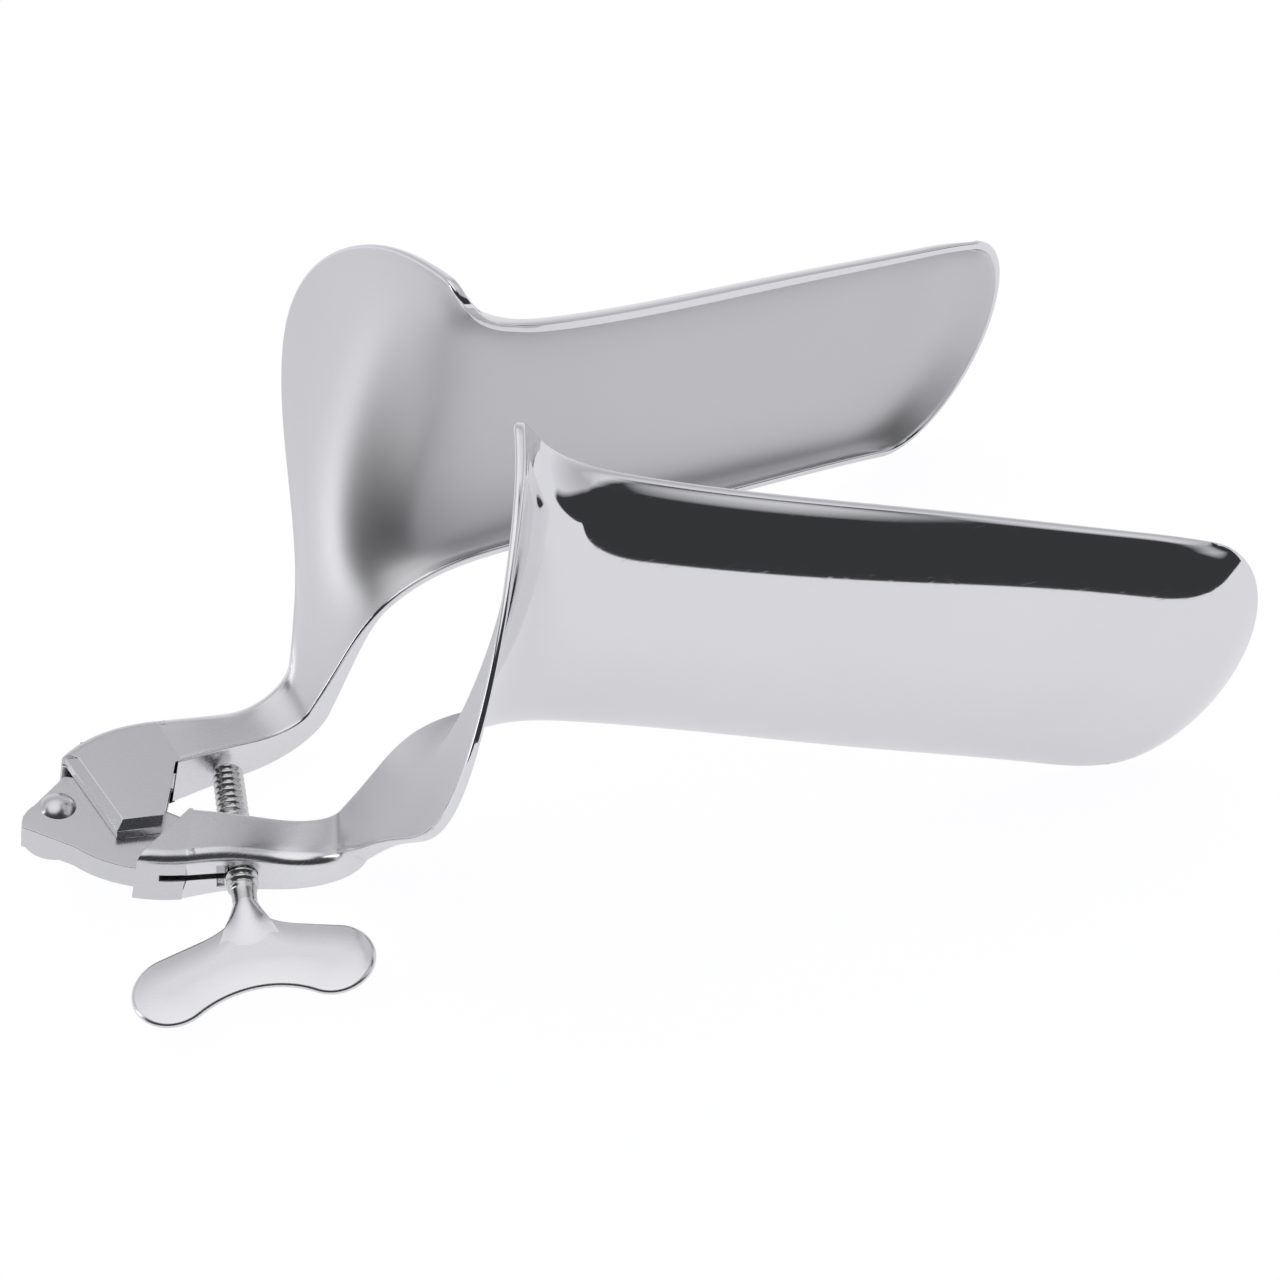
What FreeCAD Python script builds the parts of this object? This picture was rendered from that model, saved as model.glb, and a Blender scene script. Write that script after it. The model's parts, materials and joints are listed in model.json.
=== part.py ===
import FreeCAD, Part
import math
import os

# Bivalve speculum, millimetres. Each half is drawn closed: X runs from the hinge axis to the
# blade's tip, Y outwards from the mid-plane between the halves, and Z up the hinge axis from
# the top of the arms. The halves are then mirrored, opened and laid on the table.

# Opening
OPEN_ANGLE = 28.7            # between the two blades as they stand here
MID_GAP = 0.15               # each half stops short of the mid-plane when closed

# Blade
AXIS_HEIGHT = 48.2           # blade axis above the top of the arms
WALL = 1.3
TIP_REACH = 145.0            # inside of the rounded end
TIP_LENGTH = 11.5            # rounded end, from its shoulder
TIP_HALF_HEIGHT = 18.6       # inside, at the shoulder of the rounded end
TROUGH_START = 62.0          # where the funnel turns into the straight trough
TROUGH_TOP = 15.0            # inside, above the axis, where the trough starts
TROUGH_BOTTOM = 21.2         # inside, below the axis, where the trough starts
TROUGH_DEPTH = 6.9           # inside, where the trough starts
TROUGH_DEPTH_END = 6.0       # inside, before the rounded end

# Flange and neck
FLANGE_TOP_X = 44.6          # inner face where the upper rim meets the flange's corner
FLANGE_TOP = 22.6            # above the axis
FLANGE_SIDE_X = 41.9         # inner face at the widest place
FLANGE_WIDTH = 34.0
FLANGE_WIDEST = -3.0         # height of the widest place from the axis
FLANGE_CORNER = 3.2          # rounding between the upper rim and the flange
THROAT_X = 49.0              # middle of the funnel's bend, inner face
NECK_X = 38.5                # inner face of the neck, halfway down
NECK_DROP = 38.5             # that place below the axis
NECK_WIDTH = 12.3
NECK_WALL = 2.6
FOOT_X = 34.6                # inner face where the neck meets the arm
FOOT_WALL = 4.2

# Arm and hinge block
ARM_WIDTH = 7.2
ARM_END_X = 31.0             # start of the bend up into the neck
ARM_END_DEPTH = 6.0
BLOCK_WIDTH = 9.1
BLOCK_DEPTH = 8.4
BLOCK_X = 17.0               # where the hinge block turns into the arm
ARM_SLIM_X = 24.0            # where the arm has come down to its width

# Hinge
JAW_TOP = 2.4                # upper jaw of the far half
JAW_BOTTOM = 2.2             # lower jaw of the far half
SLOT_PLAY = 0.05             # above and below the tongue
MEET_X = 16.5                # upper step of the near half at the mid-plane
MEET_TIP_X = 10.7            # the same step at the outer side
MEET_GAP = 0.4               # between that step and the jaws when closed
JAW_BACK_X = 4.2             # back edge of the upper jaw, clear of the rivet's head
JAW_BEVEL = 1.1
EAR_RADIUS = 4.3             # lower jaw round the rivet
TONGUE_BACK = 4.1            # back edge of the tongue beyond the hinge axis
TONGUE_SIDE = 5.4            # tongue across the mid-plane
RIVET_RADIUS = 1.5
RIVET_HEAD = 2.3
RIVET_DOME = 1.2
RIVET_FOOT = 2.3             # countersunk lower end
RIVET_SINK = 0.9
RIVET_SEAT = 0.02            # round the shank in the tongue
RIVET_PLAY = 0.05            # round the shank in the lower jaw

# Screw and wing
SCREW_X = 22.97              # where the screw's axis leaves the near half's inner face
SCREW_TILT = 9.4             # of that axis from square across the arm, outer end forwards
SCREW_DEPTH = 4.0            # below the top of the arm
SCREW_RADIUS = 2.1
SCREW_PLAY = 0.05
SCREW_REACH = 11.12          # tip beyond the near half's inner face
TIP_BEVEL = 0.9
THREAD_OUT = 10.6            # end of the thread along the axis, outside the arm
NECK_RADIUS = 1.6
BOSS_RADIUS = 2.2            # slotted end that holds the wing
BOSS_START = 12.4
BOSS_END = 17.6
WING_PLATE = 1.7
WING_START = 14.6            # wing's inner edge along the axis
WING_LOBE = 23.1             # middle of the lobes along the axis
WING_ROOT = 2.6              # half width where the plate enters the slotted end
LOBE_RADIUS = 5.9
WING_EDGE = 0.45             # bevel of the plate's edges
WING_WAIST = 25.7            # outer edge between the lobes
WING_SPAN = 30.4
WING_TURN = 15.0             # wing's plane from level, its lobe towards the hinge lower
SLIT_HEIGHT = 1.1            # saw cut beside the tapped hole
SLIT_START = 13.8
SLIT_DEPTH = 5.0


# Sections of the sheet: where they stand, by the number of the guides' points, and the points
# round each one
STATIONS = [0, 0.5, 0.8, 1.1, 1.4, 1.7, 2, 2.3, 2.6, 3, 3.5, 4, 4.7, 5.4, 6, 6.5, 7, 7.3, 7.55, 7.75,
            7.9, 8]
SECTION_STEPS = 10


def vec(x, y, z):
    return FreeCAD.Vector(x, y, z)


def guide(points):
    """A smooth plane curve through (along, out) points, one point per unit of its parameter."""
    curve = Part.BSplineCurve()
    curve.interpolate(Points=[vec(along, out, 0) for along, out in points],
                      Parameters=[float(number) for number in range(len(points))])
    return curve


def beside(curve, station, distance):
    """The curve's point at a station, moved sideways to its left by a distance."""
    point = curve.value(station)
    ahead = curve.tangent(station)[0]
    return point.x - ahead.y * distance, point.y + ahead.x * distance


def guides():
    """Three curves from the flange to the tip: upper rim, deepest line and lower rim.

    The heights of the rims and the depth are all measured outwards, so that the left of each
    curve is the outside of the blade."""
    shoulder = TIP_REACH - TIP_LENGTH
    middle = (TROUGH_START + shoulder) / 2
    half_top = (TROUGH_TOP + TIP_HALF_HEIGHT) / 2
    half_bottom = (TROUGH_BOTTOM + TIP_HALF_HEIGHT) / 2
    half_depth = (TROUGH_DEPTH + TROUGH_DEPTH_END) / 2
    upper = guide([(FLANGE_TOP_X - 1.4, FLANGE_TOP + 2.9),
                   (FLANGE_TOP_X + 1.0, FLANGE_TOP - 2.2),
                   (THROAT_X, TROUGH_TOP + 2.3),
                   (THROAT_X + 5, TROUGH_TOP + 0.6),
                   (TROUGH_START, TROUGH_TOP),
                   (middle, half_top),
                   (shoulder - 12, TIP_HALF_HEIGHT - 0.4),
                   (shoulder - 4, TIP_HALF_HEIGHT),
                   (shoulder, TIP_HALF_HEIGHT)])
    lower = guide([(FOOT_X, AXIS_HEIGHT),
                   (NECK_X, NECK_DROP),
                   (THROAT_X - 5.8, TROUGH_BOTTOM + 7.4),
                   (THROAT_X + 1, TROUGH_BOTTOM + 2.4),
                   (TROUGH_START, TROUGH_BOTTOM),
                   (middle, half_bottom),
                   (shoulder - 12, TIP_HALF_HEIGHT + 0.2),
                   (shoulder - 4, TIP_HALF_HEIGHT),
                   (shoulder, TIP_HALF_HEIGHT)])
    deepest = guide([(FLANGE_SIDE_X - 0.7, FLANGE_WIDTH + 4),
                     (FLANGE_SIDE_X + 0.7, FLANGE_WIDTH - 8),
                     (THROAT_X - 3.4, TROUGH_DEPTH + 8.1),
                     (THROAT_X + 3, TROUGH_DEPTH + 1.7),
                     (TROUGH_START, TROUGH_DEPTH),
                     (middle, half_depth),
                     (shoulder - 6, TROUGH_DEPTH_END),
                     (TIP_REACH - 4.4, TROUGH_DEPTH_END * 0.66),
                     (TIP_REACH, 0.0)])
    return upper, deepest, lower


def wall_at(station):
    """Thickness on the lower guide: the foot thins out up the neck."""
    if station < 1:
        return FOOT_WALL + (NECK_WALL - FOOT_WALL) * station
    if station < 2:
        return NECK_WALL + (WALL - NECK_WALL) * (station - 1)
    return WALL


def blade_point(curves, station, turn, outside):
    """A point of a blade's section, half an ellipse from the upper rim over the deepest line to
    the lower rim, leaned so that it meets all three guides. turn is 0 to 180 degrees."""
    upper, deepest, lower = curves
    top_x, top = beside(upper, station, WALL * outside)
    side_x, depth = beside(deepest, station, WALL * outside)
    bottom_x, bottom = beside(lower, station, wall_at(station) * outside)
    lean = math.cos(math.radians(turn))
    bulge = math.sin(math.radians(turn))
    middle_x = (top_x + bottom_x) / 2
    return vec(middle_x + (top_x - bottom_x) / 2 * lean + (side_x - middle_x) * bulge,
               max(depth, 0.0) * bulge,
               AXIS_HEIGHT + (top - bottom) / 2 + (top + bottom) / 2 * lean)


def section(curves, station, outside):
    """One side of the sheet's section at a station, as a smooth edge."""
    steps = range(SECTION_STEPS + 1)
    curve = Part.BSplineCurve()
    curve.interpolate(Points=[blade_point(curves, station, 180 * step / SECTION_STEPS, outside) for step in steps],
                      Parameters=[float(step) for step in steps])
    return curve.toShape()


def blade_sheet():
    """The whole sheet of a half, before its flange is cut to its outline: ruled strips between
    its sections, close together where it bends and wide along the straight trough."""
    curves = guides()
    pairs = [[section(curves, station, outside) for outside in (0, 1)] for station in STATIONS]
    faces = [Part.makeRuledSurface(*pair) for pair in (pairs[0], pairs[-1])]
    for before, after in zip(pairs, pairs[1:]):
        faces += [Part.makeRuledSurface(start, finish) for start, finish in zip(before, after)]
        for rim in (0, -1):
            faces.append(Part.makeRuledSurface(rim_line(before, rim), rim_line(after, rim)))
    shell = Part.Shell(faces)
    shell.sewShape()
    return as_solid(shell)


def rim_line(pair, rim):
    """Across the wall at the upper rim (0) or the lower rim (-1) of a section."""
    inner, outer = pair
    return Part.makeLine(inner.Vertexes[rim].Point, outer.Vertexes[rim].Point)


def as_solid(shell):
    solid = Part.Solid(shell)
    if solid.Volume < 0:
        solid.reverse()
    return solid


def flange_outline():
    """Everything inside the flange's and the neck's outline, seen along the blade."""
    top = AXIS_HEIGHT + FLANGE_TOP
    widest = AXIS_HEIGHT + FLANGE_WIDEST
    foot = ARM_END_DEPTH * 0.5
    rise = top - widest
    drop = widest - foot
    points = [(FLANGE_CORNER, top),
              (0.42 * FLANGE_WIDTH, widest + 0.88 * rise),
              (0.78 * FLANGE_WIDTH, widest + 0.58 * rise),
              (0.96 * FLANGE_WIDTH, widest + 0.25 * rise),
              (FLANGE_WIDTH, widest),
              (0.93 * FLANGE_WIDTH, widest - 0.22 * drop),
              (0.71 * FLANGE_WIDTH, widest - 0.48 * drop),
              (NECK_WIDTH + 4.0, widest - 0.71 * drop),
              (NECK_WIDTH, widest - 0.85 * drop),
              (ARM_WIDTH + 1.5, foot)]
    edge = Part.BSplineCurve()
    edge.interpolate([vec(0, out, up) for out, up in points])
    beyond = -2.0
    corners = [vec(0, ARM_WIDTH + 1.5, foot), vec(0, beyond, foot), vec(0, beyond, top - FLANGE_CORNER),
               vec(0, 0, top - FLANGE_CORNER)]
    shoulder = Part.Arc(corners[-1], vec(0, FLANGE_CORNER * 0.3, top - FLANGE_CORNER * 0.3),
                        vec(0, FLANGE_CORNER, top))
    sides = [Part.makeLine(start, end) for start, end in zip(corners, corners[1:])]
    wire = Part.Wire([edge.toShape()] + sides + [shoulder.toShape()])
    return Part.Face(wire).extrude(vec(TIP_REACH + 10, 0, 0))


def bar(sections):
    """A four-sided bar: a smooth edge runs through each corner of its sections, and flat or
    twisted sides join the edges."""
    edges = []
    for corner in range(4):
        edge = Part.BSplineCurve()
        edge.interpolate([section[corner] for section in sections])
        edges.append(edge.toShape())
    faces = [Part.makeRuledSurface(edges[corner], edges[corner - 1]) for corner in range(4)]
    for section in (sections[0], sections[-1]):
        faces.append(Part.makeRuledSurface(Part.makeLine(section[0], section[1]),
                                           Part.makeLine(section[3], section[2])))
    shell = Part.Shell(faces)
    shell.sewShape()
    return as_solid(shell)


def arm():
    """The bar from the hinge block, bent up and thinned into the neck."""
    sections = []
    depth_slope = (BLOCK_DEPTH - ARM_END_DEPTH) / (ARM_END_X - BLOCK_X)
    for x, width in ((BLOCK_X, BLOCK_WIDTH - 0.5), (ARM_SLIM_X, ARM_WIDTH), (ARM_END_X, ARM_WIDTH)):
        depth = BLOCK_DEPTH - depth_slope * (x - BLOCK_X)
        sections.append([vec(x, 0, 0), vec(x, width, 0), vec(x, width, -depth), vec(x, 0, -depth)])
    curves = guides()
    for station, turn in ((0.3, 166.5), (0.6, 164.0)):
        sections.append([blade_point(curves, station, 180, 0), blade_point(curves, station, turn, 0),
                         blade_point(curves, station, turn, 1), blade_point(curves, station, 180, 1)])
    return bar(sections)


def outer_side():
    """Outer side of the hinge block from its rounded end to the arm, the same on both halves."""
    edge = Part.BSplineCurve()
    edge.interpolate([vec(3.0, 6.5, 0), vec(6.2, BLOCK_WIDTH - 1.0, 0), vec(12.1, BLOCK_WIDTH, 0),
                      vec(BLOCK_X, BLOCK_WIDTH - 0.5, 0)])
    return edge


def plate(edges, bottom, top):
    """A flat plate from a closed run of edges drawn at height zero."""
    face = Part.Face(Part.Wire(Part.__sortEdges__(edges)))
    solid = face.extrude(vec(0, 0, top - bottom))
    solid.translate(vec(0, 0, bottom))
    return solid


def lines(points):
    return [Part.makeLine(start, end) for start, end in zip(points, points[1:])]


def near_layers():
    """The near half's block: a step above and below, and the tongue between the far jaws."""
    side = outer_side()
    meet = vec(MEET_X, 0, 0)
    step_side = side.value(side.parameter(vec(MEET_TIP_X, BLOCK_WIDTH, 0)))
    rear = side.copy()
    rear.segment(side.parameter(step_side), side.LastParameter)
    end = side.EndPoint
    root = vec(BLOCK_X, 0, 0)
    step_edges = [rear.toShape()] + lines([end, root, meet, step_side])
    start = side.StartPoint
    corner = vec(-TONGUE_BACK + 0.2, start.y - 2.4, 0)
    back = vec(-TONGUE_BACK, start.y - 4.3, 0)
    tongue_points = [end, root, meet, vec(2.5, -TONGUE_SIDE, 0), vec(0.1, -TONGUE_SIDE - 0.1, 0), back,
                     corner, vec(-TONGUE_BACK + 1.8, start.y - 1.9, 0), start]
    tongue = plate([side.toShape()] + lines(tongue_points), JAW_BOTTOM - BLOCK_DEPTH + SLOT_PLAY,
                   -JAW_TOP - SLOT_PLAY)
    upper = plate(step_edges, -JAW_TOP - SLOT_PLAY, 0)
    lower = plate(step_edges, -BLOCK_DEPTH, JAW_BOTTOM - BLOCK_DEPTH + SLOT_PLAY)
    return upper.fuse([tongue, lower])


def far_layers():
    """The far half's block: an upper jaw that stops short of the rivet, a web, and a lower jaw
    that goes round it."""
    side = outer_side()
    end = side.EndPoint
    start = side.StartPoint
    root = vec(BLOCK_X, 0, 0)
    meet = vec(MEET_X - MEET_GAP, 0, 0)
    front = vec(MEET_TIP_X - MEET_GAP, -BLOCK_WIDTH, 0)
    rear = vec(JAW_BACK_X + 0.5, -BLOCK_WIDTH + 1.2, 0)
    heel = vec(JAW_BACK_X - 0.8, start.y - 0.4, 0)
    jaw = plate([side.toShape()] + lines([end, root, meet, front, rear, heel, start]), -JAW_TOP, 0)
    bevelled = [edge for edge in jaw.Edges if on_top_rear(edge, heel, rear, front)]
    jaw = jaw.makeChamfer(JAW_BEVEL, bevelled)
    web_front = vec(start.x, start.y - 0.5, 0)
    web = plate([side.toShape()] + lines([end, vec(BLOCK_X, 0.1, 0), web_front, start]),
                JAW_BOTTOM - BLOCK_DEPTH, -JAW_TOP)
    leave = EAR_RADIUS * math.sqrt(0.5)
    ear_arc = Part.Arc(vec(-leave * 0.4, EAR_RADIUS * 0.96, 0), vec(-EAR_RADIUS, 0, 0), vec(0, -EAR_RADIUS, 0))
    ear_top = ear_arc.StartPoint
    ear = plate([side.toShape(), ear_arc.toShape()] + lines([end, root, meet, front, rear, ear_arc.EndPoint])
                + lines([ear_top, start]), -BLOCK_DEPTH, JAW_BOTTOM - BLOCK_DEPTH)
    return jaw.fuse([web, ear])


def on_top_rear(edge, heel, rear, front):
    """True for the upper jaw's top edges at its back and its front, the ones that are bevelled."""
    middle = edge.CenterOfMass
    at_top = abs(middle.z) < 0.01
    return at_top and any(middle.distanceToPoint((start + end) / 2) < 0.01
                          for start, end in ((heel, rear), (rear, front)))


def half(block):
    """Sheet, arm and hinge block of one half in one solid."""
    sheet = blade_sheet().common(flange_outline())
    whole = sheet.fuse([arm(), block]).removeSplitter()
    whole.translate(vec(0, MID_GAP, 0))
    return whole.Solids[0]


def screw_line():
    """Start and outward direction of the screw's axis in the near half, drawn closed."""
    tilt = math.radians(SCREW_TILT)
    return vec(SCREW_X, 0, -SCREW_DEPTH), vec(math.sin(tilt), math.cos(tilt), 0)


def along_screw(solid):
    """Puts a solid that was turned about the Z axis onto the screw's axis, its X axis level."""
    start, outward = screw_line()
    level = outward.cross(vec(0, 0, 1))
    matrix = FreeCAD.Matrix(-level.x, 0, outward.x, start.x,
                            -level.y, 0, outward.y, start.y,
                            0, 1, 0, start.z,
                            0, 0, 0, 1)
    copy = solid.copy()
    copy.Placement = FreeCAD.Placement(matrix).multiply(copy.Placement)
    return copy


def near_half():
    shape = half(near_layers())
    bore = Part.makeCylinder(RIVET_RADIUS + RIVET_SEAT, BLOCK_DEPTH, vec(0, 0, -BLOCK_DEPTH))
    start, outward = screw_line()
    tapped = Part.makeCylinder(SCREW_RADIUS + SCREW_PLAY, 2 * BLOCK_WIDTH, start - outward * BLOCK_WIDTH / 2,
                               outward)
    slit = Part.makeBox(SCREW_X - SLIT_START, 2 * SLIT_DEPTH, SLIT_HEIGHT,
                        vec(SLIT_START, BLOCK_WIDTH - SLIT_DEPTH, -SCREW_DEPTH - SLIT_HEIGHT / 2))
    return shape.cut([bore, tapped, slit])


def far_half():
    shape = half(far_layers())
    bore = Part.makeCylinder(RIVET_RADIUS + RIVET_PLAY, BLOCK_DEPTH, vec(0, 0, -BLOCK_DEPTH - 1))
    sink = Part.makeCone(RIVET_FOOT + RIVET_PLAY, RIVET_RADIUS + RIVET_PLAY, RIVET_SINK + RIVET_PLAY,
                         vec(0, 0, -BLOCK_DEPTH))
    return shape.cut([bore, sink])


def hinge_rivet():
    """Domed head on the tongue, shank through tongue and lower jaw, countersunk lower end."""
    top = -JAW_TOP - SLOT_PLAY
    profile = [vec(0, 0, -BLOCK_DEPTH), vec(RIVET_FOOT, 0, -BLOCK_DEPTH),
               vec(RIVET_RADIUS, 0, RIVET_SINK - BLOCK_DEPTH), vec(RIVET_RADIUS, 0, top),
               vec(RIVET_HEAD, 0, top)]
    crown = vec(0, 0, top + RIVET_DOME)
    ball = (RIVET_HEAD ** 2 + RIVET_DOME ** 2) / (2 * RIVET_DOME)
    halfway = math.asin(RIVET_HEAD / ball) / 2
    dome = Part.Arc(profile[-1], vec(ball * math.sin(halfway), 0, crown.z - ball + ball * math.cos(halfway)),
                    crown)
    wire = Part.Wire(lines(profile) + [dome.toShape(), Part.makeLine(crown, profile[0])])
    return Part.Face(wire).revolve(vec(0, 0, 0), vec(0, 0, 1), 360)


def turned(profile):
    """A solid of revolution about the screw's axis from (radius, along) points."""
    wire = Part.Wire(lines([vec(radius, 0, along) for radius, along in profile]))
    return Part.Face(wire).revolve(vec(0, 0, 0), vec(0, 0, 1), 360)


def screw_shank():
    """Threaded length with its bevelled tip, and the waisted neck."""
    tip = -SCREW_REACH
    profile = [(0, tip), (SCREW_RADIUS - TIP_BEVEL, tip), (SCREW_RADIUS, tip + TIP_BEVEL),
               (SCREW_RADIUS, THREAD_OUT), (NECK_RADIUS, THREAD_OUT + 0.8), (NECK_RADIUS, BOSS_START),
               (0, BOSS_START), (0, tip)]
    return along_screw(turned(profile))


def wing_neck():
    """End of the neck, flared and slotted, which the wing is brazed into."""
    flare = [(0, BOSS_START), (NECK_RADIUS, BOSS_START), (BOSS_RADIUS, BOSS_START + 1.0),
             (BOSS_RADIUS, BOSS_END - 1.2), (BOSS_RADIUS * 0.55, BOSS_END), (0, BOSS_END), (0, BOSS_START)]
    slot = Part.makeBox(4 * BOSS_RADIUS, WING_PLATE, BOSS_END,
                        vec(-2 * BOSS_RADIUS, -WING_PLATE / 2, WING_START))
    slot.rotate(vec(0, 0, 0), vec(0, 0, 1), -WING_TURN)
    return along_screw(turned(flare).cut(slot))


def wing_outline():
    """Two round lobes joined by a hollow arc outside and by straight shoulders at the neck."""
    across = WING_SPAN / 2 - LOBE_RADIUS
    dip = WING_WAIST - WING_LOBE
    hollow = (across ** 2 + dip ** 2 - LOBE_RADIUS ** 2) / (2 * (LOBE_RADIUS - dip))
    lobe = vec(across, 0, WING_LOBE)
    waist = vec(0, 0, WING_WAIST)
    low = lobe + (vec(0, 0, WING_WAIST + hollow) - lobe).normalize() * LOBE_RADIUS
    shoulder = vec(WING_ROOT, 0, WING_START)
    reach = lobe - shoulder
    swing = math.atan2(-reach.z, -reach.x) + math.acos(LOBE_RADIUS / reach.Length)
    touch = lobe + vec(math.cos(swing), 0, math.sin(swing)) * LOBE_RADIUS
    right = [(vec(side * shoulder.x, 0, shoulder.z), vec(side * touch.x, 0, touch.z),
              vec(side * (across + LOBE_RADIUS), 0, WING_LOBE), vec(side * low.x, 0, low.z))
             for side in (1, -1)]
    edges = [Part.Arc(right[0][3], waist, right[1][3]).toShape(),
             Part.makeLine(right[1][0], right[0][0])]
    for root, start, tip, finish in right:
        edges += [Part.makeLine(root, start), Part.Arc(start, tip, finish).toShape()]
    return Part.Wire(Part.__sortEdges__(edges))


def wing_plate():
    """Flat plate with two swept lobes and softened edges."""
    solid = Part.Face(wing_outline()).extrude(vec(0, WING_PLATE, 0))
    solid.translate(vec(0, -WING_PLATE / 2, 0))
    rims = [edge for edge in solid.Edges if edge.CenterOfMass.z > WING_START + 0.01
            and abs(abs(edge.CenterOfMass.y) - WING_PLATE / 2) < 0.01]
    bevelled = solid.makeChamfer(WING_EDGE, rims)
    bevelled.rotate(vec(0, 0, 0), vec(0, 0, 1), -WING_TURN)
    return along_screw(bevelled)


def mirrored(solid):
    return solid.mirror(vec(0, 0, 0), vec(0, 1, 0))


def opened(solid, side):
    """Turns a closed piece about the hinge axis to where its half stands."""
    copy = solid.copy()
    copy.rotate(vec(0, 0, 0), vec(0, 0, 1), side * OPEN_ANGLE / 2)
    return copy


def lie_angle():
    """Tilt at which the heels of the arms and the lower rims of the tips touch the table."""
    spread = math.cos(math.radians(OPEN_ANGLE / 2))
    tip_x = (TIP_REACH - TIP_LENGTH) * spread
    tip_z = AXIS_HEIGHT - TIP_HALF_HEIGHT - WALL
    heel_x = ARM_END_X * spread
    return math.degrees(math.atan2(tip_z + ARM_END_DEPTH, tip_x - heel_x))


def laid(pieces):
    """Tilts every piece onto the table and centres the whole over the origin."""
    tilt = FreeCAD.Placement(vec(0, 0, 0), FreeCAD.Rotation(vec(0, 1, 0), lie_angle()))
    for piece in pieces.values():
        piece.Placement = tilt.multiply(piece.Placement)
    box = Part.makeCompound(list(pieces.values())).optimalBoundingBox(False, False)
    shift = vec(-box.Center.x, -box.Center.y, -box.ZMin)
    for piece in pieces.values():
        piece.translate(shift)
    return FreeCAD.Placement(shift, tilt.Rotation)


def main():
    """Makes every piece, lays them out and writes one file each."""
    pieces = {
        "near_half": opened(mirrored(near_half()), -1),
        "far_half": opened(far_half(), 1),
        "hinge_rivet": hinge_rivet(),
        "screw_shank": opened(mirrored(screw_shank()), -1),
        "wing_neck": opened(mirrored(wing_neck()), -1),
        "wing_plate": opened(mirrored(wing_plate()), -1),
    }
    place = laid(pieces)
    os.makedirs("parts", exist_ok=True)
    for name, piece in pieces.items():
        piece.exportStep("parts/" + name + ".step")
    return pieces, place


if __name__ == "__main__":
    main()
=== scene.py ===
"""Bivalve speculum: two hinged blades held open by a wing screw, in polished and satin steel."""

import json
import math

import bmesh
import bpy
import numpy as np
from bpy.props import FloatProperty, FloatVectorProperty, PointerProperty
from mathutils import Matrix, Vector

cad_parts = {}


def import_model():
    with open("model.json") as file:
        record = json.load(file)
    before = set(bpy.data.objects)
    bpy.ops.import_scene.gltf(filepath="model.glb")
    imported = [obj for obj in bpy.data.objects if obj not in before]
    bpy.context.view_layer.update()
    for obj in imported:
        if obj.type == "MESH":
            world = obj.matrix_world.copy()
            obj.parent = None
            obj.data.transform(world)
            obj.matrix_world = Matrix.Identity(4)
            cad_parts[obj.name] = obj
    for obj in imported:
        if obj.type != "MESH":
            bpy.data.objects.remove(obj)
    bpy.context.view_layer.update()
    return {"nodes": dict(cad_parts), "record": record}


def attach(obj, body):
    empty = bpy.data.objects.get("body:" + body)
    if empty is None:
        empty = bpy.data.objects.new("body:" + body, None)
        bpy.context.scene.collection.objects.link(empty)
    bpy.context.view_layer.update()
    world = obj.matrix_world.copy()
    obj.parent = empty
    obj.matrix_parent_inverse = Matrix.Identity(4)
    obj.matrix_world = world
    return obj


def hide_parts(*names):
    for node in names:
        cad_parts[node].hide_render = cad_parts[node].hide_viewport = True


bl_info = {
    "name": "Bivalve Speculum",
    "version": (1, 0, 0),
    "blender": (4, 5, 0),
    "location": "View3D > Sidebar > Speculum",
    "description": "Builds the blades, hinge rivet and wing screw of an examination speculum",
    "category": "Add Mesh",
}

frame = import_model()
MM = 0.001

# The halves are worked out closed, in millimetres, as they are forged: X from the hinge axis to
# the blades' tips, Y outwards from the plane where they meet, Z up the hinge axis from the top
# of the arms. place() then mirrors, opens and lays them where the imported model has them.
AXIS_HEIGHT = 48.2
WALL = 1.3
TIP_REACH = 145.0
TIP_LENGTH = 11.5
TIP_HALF_HEIGHT = 18.6
TROUGH_START = 62.0
TROUGH_TOP = 15.0
TROUGH_BOTTOM = 21.2
TROUGH_DEPTH = 6.9
TROUGH_DEPTH_END = 6.0
FLANGE_TOP_X = 44.6
FLANGE_TOP = 22.6
FLANGE_SIDE_X = 41.9
FLANGE_WIDTH = 34.0
FLANGE_WIDEST = -3.0
FLANGE_CORNER = 3.2
THROAT_X = 49.0
NECK_X = 38.5
NECK_DROP = 38.5
NECK_WIDTH = 12.3
NECK_WALL = 2.6
FOOT_X = 34.6
FOOT_WALL = 4.2
ARM_WIDTH = 7.2
ARM_END_X = 31.0
ARM_END_DEPTH = 6.0
ARM_SLIM_X = 24.0
BLOCK_X = 17.0
BLOCK_WIDTH = 9.1
BLOCK_DEPTH = 8.4
JAW_TOP = 2.4
MID_GAP = 0.15

ARM_ROUNDING = 1.5           # of the arm's upper outer edge
STUB_REACH = 0.45            # the arm's end goes this far into the block
STUB_SHARE = 0.995           # and is this much slimmer there

# Stations along the sheet, one unit per guide point
NECK_FOOT = 0.3              # the arm runs into the neck here
NECK_HEAD = 0.9              # the neck opens into the flange here
SPREAD_STATION = 3.2         # columns are evenly spread from here on
TIP_STATION = 8.0
COLUMN_SPREAD = 0.55         # how much closer columns lie at the rims
OUTLINE_COLUMNS = 72         # grid columns that start on the flange's outline
NECK_COLUMNS = 12            # and across the neck
MERGE_REACH = 2e-6           # points closer than this, in metres, are one

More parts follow.
